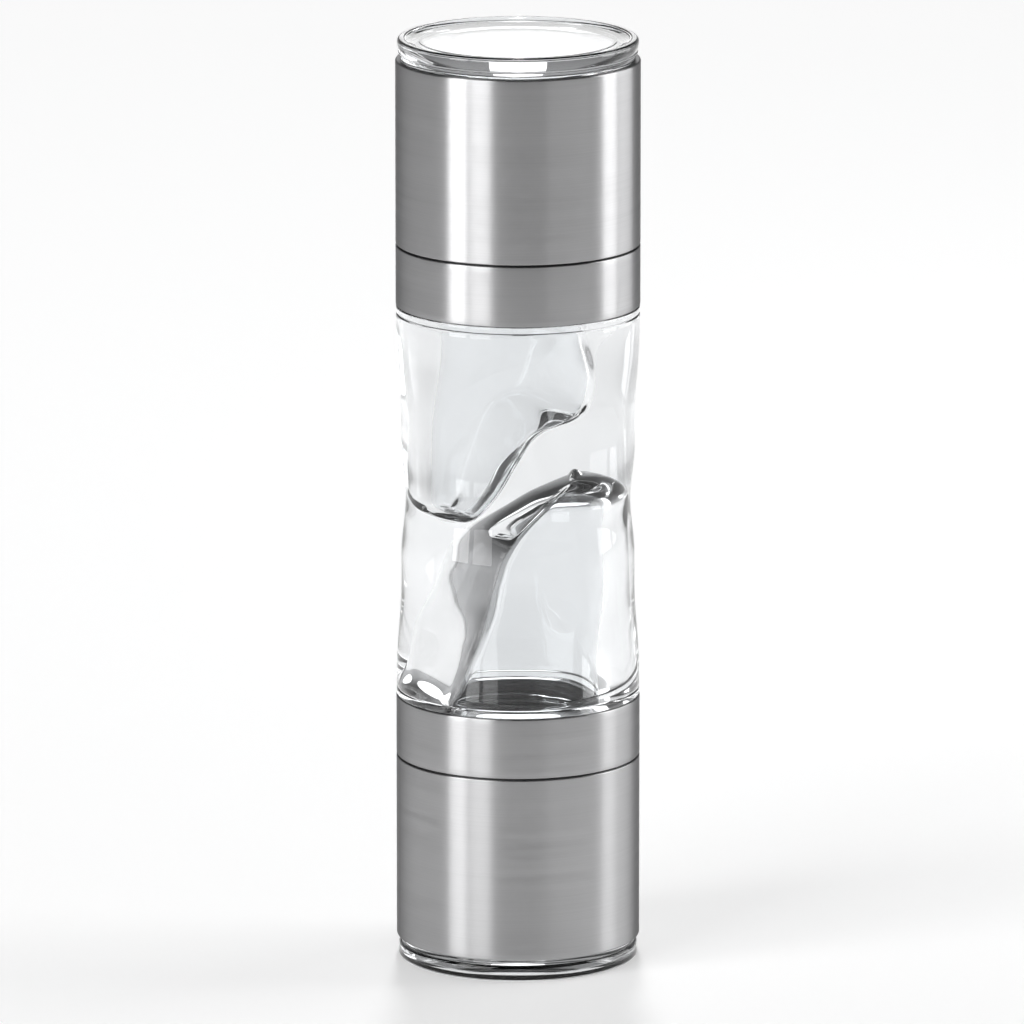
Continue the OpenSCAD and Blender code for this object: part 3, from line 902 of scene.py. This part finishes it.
def aim(obj, where, target):
    """Puts a light at a place, with its beam towards a target."""
    obj.location = where
    d = [t - w for t, w in zip(target, where)]
    length = math.sqrt(sum(c * c for c in d))
    obj.rotation_mode = "XYZ"
    obj.rotation_euler = (math.acos(-d[2] / length), 0, math.atan2(d[1], d[0]) - math.pi / 2)


def light(name, kind, where, target, power, **values):
    data = bpy.data.lights.new(name, kind)
    data.energy = power
    for k, v in values.items():
        setattr(data, k, v)
    obj = bpy.data.objects.new(name, data)
    bpy.context.scene.collection.objects.link(obj)
    aim(obj, where, target)


def around(angle, radius, z):
    """A place at an angle to the left (minus) or right (plus) of the camera's direction."""
    a = math.radians(angle)
    return (radius * math.sin(a), -radius * math.cos(a), z)


def make_lights():
    """Tall softboxes on both sides draw the bright bands on the steel."""
    for name, angle, width, power in (
            ("left_softbox", -58, 0.25, 2.9), ("left_softbox_inner", -35, 0.27, 2.0),
            ("front_fill", 48, 0.60, 0.35), ("right_softbox", 95, 0.26, 2.1),
            ("right_softbox_outer", 120, 0.36, 1.6)):
        light(name, "AREA", around(angle, 0.75, 0.42), (0, 0, 0.3), power,
              shape="RECTANGLE", size=width, size_y=0.82)
    light("back_softbox", "AREA", around(180, 3.0, 0.83), (0, 0, 0.19), 3.6,
          shape="ELLIPSE", size=0.98, size_y=0.86)
    light("overhead", "SPOT", (0, 1.2, 3.0), (0, 1.2, 0), 210,
          spot_size=math.radians(64), spot_blend=1.0, shadow_soft_size=0.12)


def make_world():
    """A dim studio that is pale at the horizon and dark above."""
    world = bpy.data.worlds.new("studio")
    world.use_nodes = True
    nodes, links = world.node_tree.nodes, world.node_tree.links
    coords = nodes.new("ShaderNodeTexCoord")
    split = nodes.new("ShaderNodeSeparateXYZ")
    sky = nodes.new("ShaderNodeValToRGB")
    horizon, above = sky.color_ramp.elements
    horizon.position, horizon.color = 0.0, (0.52, 0.52, 0.525, 1)
    above.position, above.color = 0.42, (0.03, 0.03, 0.031, 1)
    links.new(coords.outputs["Generated"], split.inputs[0])
    links.new(split.outputs["Z"], sky.inputs["Fac"])
    links.new(sky.outputs["Color"], nodes["Background"].inputs["Color"])
    bpy.context.scene.world = world


def make_camera(distance=2.6, elevation=math.radians(12.5), lens=446.13, sensor=36.0):
    """A long lens from a little above, with the mill in the middle of the picture."""
    data = bpy.data.cameras.new("camera")
    data.sensor_width, data.lens = sensor, lens
    data.shift_x, data.shift_y = -0.00586, -0.01367
    data.clip_start, data.clip_end = 0.1, 50
    cam = bpy.data.objects.new("camera", data)
    cam.location = (0, -distance * math.cos(elevation), MID * MM + distance * math.sin(elevation))
    cam.rotation_mode = "XYZ"
    cam.rotation_euler = (math.pi / 2 - elevation, 0, 0)
    bpy.context.scene.collection.objects.link(cam)
    bpy.context.scene.camera = cam


make_floor()
make_lights()
make_world()
make_camera()
bpy.context.scene.view_settings.view_transform = "Standard"
bpy.context.scene.view_settings.look = "None"
